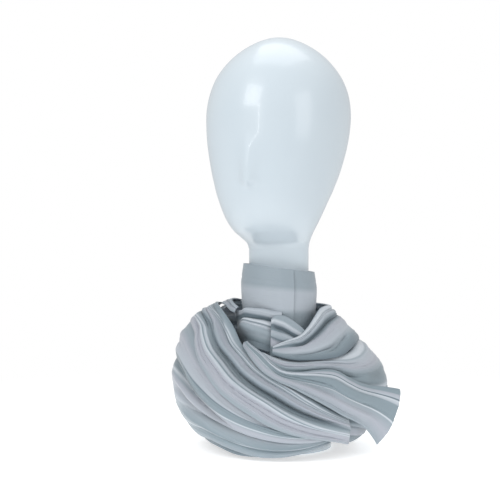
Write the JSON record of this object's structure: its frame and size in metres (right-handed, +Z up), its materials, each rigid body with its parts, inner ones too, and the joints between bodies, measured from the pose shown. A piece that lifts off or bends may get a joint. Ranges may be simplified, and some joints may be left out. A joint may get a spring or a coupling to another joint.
{
  "type": "chiffon scarf on display head",
  "caption": "Long striped chiffon scarf wound in soft loops round the neck of an egg-shaped display head, with one end fanned out.",
  "frame": {"origin": "centre of the display head's foot, on the resting face", "axes": "+Z up through the neck, -Y to the front of the wound scarf, +X to the side on which the free end fans out"},
  "size_m": [0.2531, 0.2263, 0.466],
  "materials": {
    "head_gloss": "glossy pale blue-white plastic",
    "chiffon": "soft grey-blue chiffon with satin stripes"
  },
  "bodies": {
    "root": {"display_head": "head_gloss", "neck_band": "chiffon", "inner_wrap": "chiffon", "turned_fold": "chiffon", "upper_loop": "chiffon", "lower_loop": "chiffon", "tail": "chiffon", "front_sweep": "chiffon", "left_loop": "chiffon", "under_layer": "chiffon", "back_roll": "chiffon", "end_fold": "chiffon", "crown_fold": "chiffon"}
  },
  "joints": []
}
